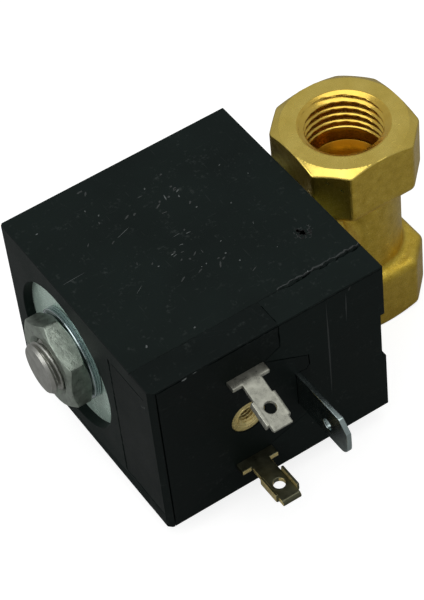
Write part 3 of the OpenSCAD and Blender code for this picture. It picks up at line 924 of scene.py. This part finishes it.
def build_block():
    """The terminal block, with its seams and its chips."""
    block = from_node("terminal_block")
    outer_edges(block)
    soften(block, 0.18)
    cutters = [
        groove("terminal", [(REAR_X + 1.0, 14.5), (REAR_X + 1.0, -15)], 0.22, 0.7),
        groove("terminal", [(REAR_X + 0.9, SEAM_V), (REAR_X + 5.1, SEAM_V)], 0.24, 0.5, 0.03, 4),
        groove("terminal", [(REAR_X + 9.3, SEAM_V), (STEP_X, SEAM_V)], 0.20, 0.5, 0.05, 6),
        strip_seam(STEP_X),
        *face_seams(),
    ]
    block = finish_moulding(block, cutters, "block", [BLOCK_BLACK, EDGE_SHADE])
    chips = [(REAR_X + 5.5, TOP_V - 0.42, 0.95, 0.34, 12), (REAR_X + 7.2, TOP_V - 0.25, 0.8, 0.12, 6)]
    chip = flecks("chips", chips, "terminal", RAW)
    spots = [(FACE_Y + 1.9, 10.6, 0.34, 0.26, 40), (FACE_Y + 2.5, 10.2, 0.5, 0.12, 0)]
    spot = flecks("spot", spots, "nut", RAW)
    piece = join([block, chip, spot], "moulded_terminal_block")
    even_shading(piece)
    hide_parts("terminal_block")
    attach(piece, "coil")


# ------------------------------------------------------------------ terminals

TAB_T = 0.8
TAB_W = TAB_HI[0] - TAB_LO[0]
TAB_X = (TAB_HI[0] + TAB_LO[0]) / 2
EAR_OUT = 1.65
TAB_OUT = FACE_Y - TAB_LO[1]
NECK_W = 3.05
PLATE_W = 3.9
WING_START, WING_END, WING_H, WING_T = 2.75, 6.7, 1.5, 0.42
HOLE_R, HOLE_AT = 0.9, 4.6
BEND_R = 0.5
UPPER_DROOP = 20  # degrees, as in the CAD
BEND_START, BEND_SPAN = -1.0, 1.7  # where the upper tab's bend lies, from the ear line outwards


def tab_field(x, y, z):
    """A flat line tab: x across, y out from the ear line, z down from its upper face, as the wings are."""
    length = TAB_OUT - EAR_OUT
    root = box_field(x, y, z, (-TAB_W / 2, -9.2, 0), (TAB_W / 2, 0, TAB_T), 0.12)
    neck = box_field(x, y, z, (-NECK_W / 2, -0.5, 0), (NECK_W / 2, length, TAB_T), 0.12)
    tip = (y - length + (z - TAB_T * 0.5) * 0.9) * 0.74
    tip = smooth_max(neck, tip, 0.12)
    half = PLATE_W / 2 - 0.02
    plate = box_field(x, y, z, (-half, WING_START, 0), (half, WING_END, WING_T), 0.2)
    outer = smooth_max(np.abs(x) - PLATE_W / 2, -z, BEND_R)
    inner = np.abs(x) - (PLATE_W / 2 - WING_T)
    wings = np.maximum(outer, -inner)
    wings = smooth_max(wings, np.maximum(WING_START - y, y - WING_END), 0.08)
    wings = smooth_max(wings, z - WING_H, 0.12)
    solid = np.minimum(np.minimum(root, tip), smooth_min(plate, wings, 0.1))
    hole = np.hypot(x, y - HOLE_AT) - HOLE_R
    return smooth_max(solid, -hole, 0.08)


def droop_tab(y, z, angle):
    """Bends a tab down by an angle, on an arc from BEND_START outwards. z runs down."""
    if not angle:
        return y, z
    out = y - BEND_START
    turned = angle * np.clip(out / BEND_SPAN, 0, 1)
    radius = BEND_SPAN / angle
    straight = np.clip(out - BEND_SPAN, 0, None)
    bent_y = BEND_START + radius * np.sin(turned) + straight * np.cos(turned) - z * np.sin(turned)
    bent_z = radius * (1 - np.cos(turned)) + straight * np.sin(turned) + z * np.cos(turned)
    return np.where(out > 0, bent_y, y), np.where(out > 0, bent_z, z)


def build_tab(name, node, material, top_z, up, droop, edge):
    """One line tab. up is 1 where the wings hang down and -1 where the stamping lies the other way up."""
    low = (-TAB_W / 2, -8.0, 0)
    verts, faces = surface_net(tab_field, low, (TAB_W / 2, TAB_OUT - EAR_OUT, WING_H), TAB_NET)
    y, z = droop_tab(verts[:, 1], verts[:, 2], math.radians(droop))
    placed = np.stack([TAB_X + verts[:, 0], FACE_Y - EAR_OUT - y, top_z - up * z], 1)
    if up < 0:
        faces = [f[::-1] for f in faces]
    tab = new_object(name, placed, faces, [material, edge])
    # the ears' front faces and the faces turned to +X or -X get the second, brighter material, picked by
    # facing: painted highlight along the edges, on the lower tab also bare brass at the cut edges
    ears_y = FACE_Y - EAR_OUT
    for polygon in tab.data.polygons:
        c = polygon.center / MM
        beside = abs(c[0] - TAB_X) > NECK_W / 2 + 0.1
        ear = beside and polygon.normal[1] < -0.8 and c[1] > ears_y - 0.2
        side = abs(polygon.normal[0]) > 0.5 and c[1] < ears_y - 0.4
        polygon.material_index = 1 if ear or side else 0
    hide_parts(node)
    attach(tab, "coil")
    return tab


def build_terminals():
    """The two line tabs: the upper one bent down, the lower one straight and upside down."""
    tab = build_tab("upper_tab", "line_terminal_upper", TIN, TAB_UP_TOP, 1, UPPER_DROOP, TIN_EDGE_HIGHLIGHT)
    # the lower tab's darker tin is painted shade, as it lies under the upper tab
    tab = build_tab("lower_tab", "line_terminal_lower", SHADED_TAB_TIN, TAB_LO[2], -1, 0, BARE)


def build_ground():
    """The ground blade: a flat plate with clipped corners and a hole, on its strap."""
    x0, x1 = GROUND_LO[0], GROUND_LO[0] + TAB_T
    z0, z1 = GROUND_LO[2], GROUND_HI[2]
    tip = GROUND_LO[1]
    tip_r = 1.9
    hole_y, hole_z = FACE_Y - 7.2, (z0 + z1) / 2 - 0.7

    def field(x, y, z):
        plate = box_field(x, y, z, (x0, tip, z0), (x1, GROUND_HI[1] - 1.2, z1), 0.12)
        upper = ((tip - y) + 1.75 + (z - z1)) * 0.7
        round_tip = np.hypot(y - (tip + tip_r), z - (z0 + tip_r)) - tip_r
        corner = np.where((y < tip + tip_r) & (z < z0 + tip_r), round_tip, -1.0)
        solid = smooth_max(plate, upper, 0.15)
        solid = smooth_max(solid, corner, 0.1)
        hole = np.hypot(y - hole_y, z - hole_z) - HOLE_R
        return smooth_max(solid, -hole, 0.1)

    verts, faces = surface_net(field, (x0, tip, z0), (x1, GROUND_HI[1], z1), BLADE_NET)
    blade = new_object("blade", verts, faces, [ZINC_BLADE])
    far_x, far_y = GROUND_HI[0], GROUND_HI[1]
    outline = [(x1 - 0.1, far_y - 0.95), (far_x, far_y - 0.95), (far_x, far_y), (x1 - 0.1, far_y)]
    strap = prism("strap", outline, z0, z1, 2)
    strap.data.materials.append(ZINC_BLADE)
    piece = join([blade, strap], "ground_blade")
    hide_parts("ground_terminal")
    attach(piece, "coil")


def build_insert():
    """The brass insert with its tapped hole and a dished, scored face."""
    cx, cz = (INSERT_LO[0] + INSERT_HI[0]) / 2, (INSERT_LO[2] + INSERT_HI[2]) / 2
    outer = (INSERT_HI[0] - INSERT_LO[0]) / 2
    length = INSERT_HI[1] - INSERT_LO[1]
    pitch, crest, root = 0.5, 1.23, 1.52

    def radius(key, angle):
        kind, value = key
        if kind == "plain":
            return np.full_like(angle, value)
        groove = thread_wave(value / pitch + angle / (2 * math.pi))
        return np.maximum(crest + 0.45 - value * 1.2, crest + (root - crest) * groove)

    plain = [(length, 0.01), (length, outer - 0.1), (length - 0.1, outer), (0.12, outer), (0.0, outer - 0.12),
             (0.0, outer - 0.75), (0.10, outer - 0.85), (0.12, 1.85), (0.02, 1.78)]
    rows = [(z, ("plain", r)) for z, r in plain]
    rows += [(z, ("thread", z)) for z in np.linspace(0.02, 6.9, 150)]
    rows += [(7.0, ("plain", 0.01))]
    verts, faces = wall(radius, rows, 96)
    placed = np.stack([cx + verts[:, 0], INSERT_LO[1] + verts[:, 2], cz + verts[:, 1]], 1)
    insert = new_object("brass_insert", placed, faces, [BARE])
    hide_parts("threaded_insert")
    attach(insert, "coil")


# ------------------------------------------------------------------ CAD nodes that keep their shape

def dress(node, material):
    """Gives a CAD node its only material."""
    NODES[node].data.materials.clear()
    NODES[node].data.materials.append(material)


build_valve_body()
build_nut()
build_core()
build_washer()
build_housing()
build_block()
build_terminals()
build_ground()
build_insert()
for node, material in {
    "tube_collar": TUBE, "guide_tube": TUBE, "shading_ring": COPPER, "tube_o_ring": RUBBER, "plunger": STEEL,
    "plunger_seal": RUBBER, "plunger_spring": TUBE, "coil_gasket": RUBBER, "bobbin": NYLON, "winding": WIRE,
    "winding_leads": COPPER, "yoke": ZINC_PLATE, "flux_bush_front": STEEL, "flux_bush_rear": STEEL,
}.items():
    dress(node, material)

# ------------------------------------------------------------------ floor, light and camera

FLOOR_TONE = (0.36, 0.36, 0.355)
FLOOR_GLOW = 0.82
FLOOR_REACH = 3000  # far enough that no low view shows its edge
SKY_LOW, SKY_HIGH = 0.37, 0.50  # strength of the world's light, from below the horizon to overhead


def build_floor():
    """A pale floor just under the lower port's mouth."""
    count = 25
    line = np.linspace(-FLOOR_REACH, FLOOR_REACH, count)
    verts = [(x, y, -0.02) for y in line for x in line]
    faces = [(j * count + i, j * count + i + 1, (j + 1) * count + i + 1, (j + 1) * count + i)
             for j in range(count - 1) for i in range(count - 1)]
    s = Shader("pale_floor", Roughness=0.9, Specular_IOR_Level=0.1)
    s.colour(s.blend(s.noise(60, 2), FLOOR_TONE, tuple(c * 1.04 for c in FLOOR_TONE)))
    # the paper lights itself a little where it is seen directly, as an overexposed sweep does
    seen = s.add("ShaderNodeLightPath").outputs["Is Camera Ray"]
    s.put(s.surface.inputs["Emission Color"], (1, 1, 1))
    s.put(s.surface.inputs["Emission Strength"], s.math("MULTIPLY", seen, FLOOR_GLOW))
    floor = new_object("floor", verts, faces, [s.material])


def area_light(name, place, target, size, power):
    data = bpy.data.lights.new(name, "AREA")
    data.shape = "RECTANGLE"
    data.size, data.size_y = size[0] * MM, size[1] * MM
    data.energy = power
    lamp = bpy.data.objects.new(name, data)
    lamp.location = Vector(place) * MM
    lamp.rotation_euler = (Vector(target) - Vector(place)).to_track_quat("-Z", "Y").to_euler()
    lamp.visible_camera = False
    bpy.context.scene.collection.objects.link(lamp)


def build_light():
    """An even grey world, a large light overhead and a small one beyond the nut."""
    world = bpy.data.worlds.new("studio")
    world.use_nodes = True
    nodes, links = world.node_tree.nodes, world.node_tree.links
    back = nodes["Background"]
    place = nodes.new("ShaderNodeTexCoord")
    split = nodes.new("ShaderNodeSeparateXYZ")
    ramp = nodes.new("ShaderNodeMapRange")
    links.new(place.outputs["Generated"], split.inputs[0])
    links.new(split.outputs["Z"], ramp.inputs["Value"])
    for key, value in (("From Min", -0.1), ("From Max", 1.0), ("To Min", SKY_LOW), ("To Max", SKY_HIGH)):
        ramp.inputs[key].default_value = value
    links.new(ramp.outputs[0], back.inputs["Strength"])
    back.inputs["Color"].default_value = (0.97, 0.99, 1, 1)
    bpy.context.scene.world = world
    target = (-20, -5, 18)
    area_light("key", (-80, -60, 420), target, (460, 460), 0.85)
    area_light("left", (-330, 60, 160), target, (160, 220), 0.25)


def build_camera():
    """A long lens off the corner of nut face and terminal face, 48 degrees up, fitted to the coil's edges."""
    data = bpy.data.cameras.new("camera")
    data.sensor_fit = "VERTICAL"
    data.sensor_height = 36
    data.lens = 146.526
    camera = bpy.data.objects.new("camera", data)
    right = Vector((0.8315, -0.5494, -0.0818))
    up = Vector((0.4580, 0.5948, 0.6606))
    back = right.cross(up).normalized()
    up = back.cross(right).normalized()
    turn = Matrix((right.normalized(), up, back)).transposed().to_4x4()
    camera.matrix_world = Matrix.Translation((-0.13674, -0.20918, 0.27953)) @ turn
    bpy.context.scene.collection.objects.link(camera)
    bpy.context.scene.camera = camera


build_floor()
build_light()
build_camera()
bpy.context.scene.view_settings.view_transform = "Standard"
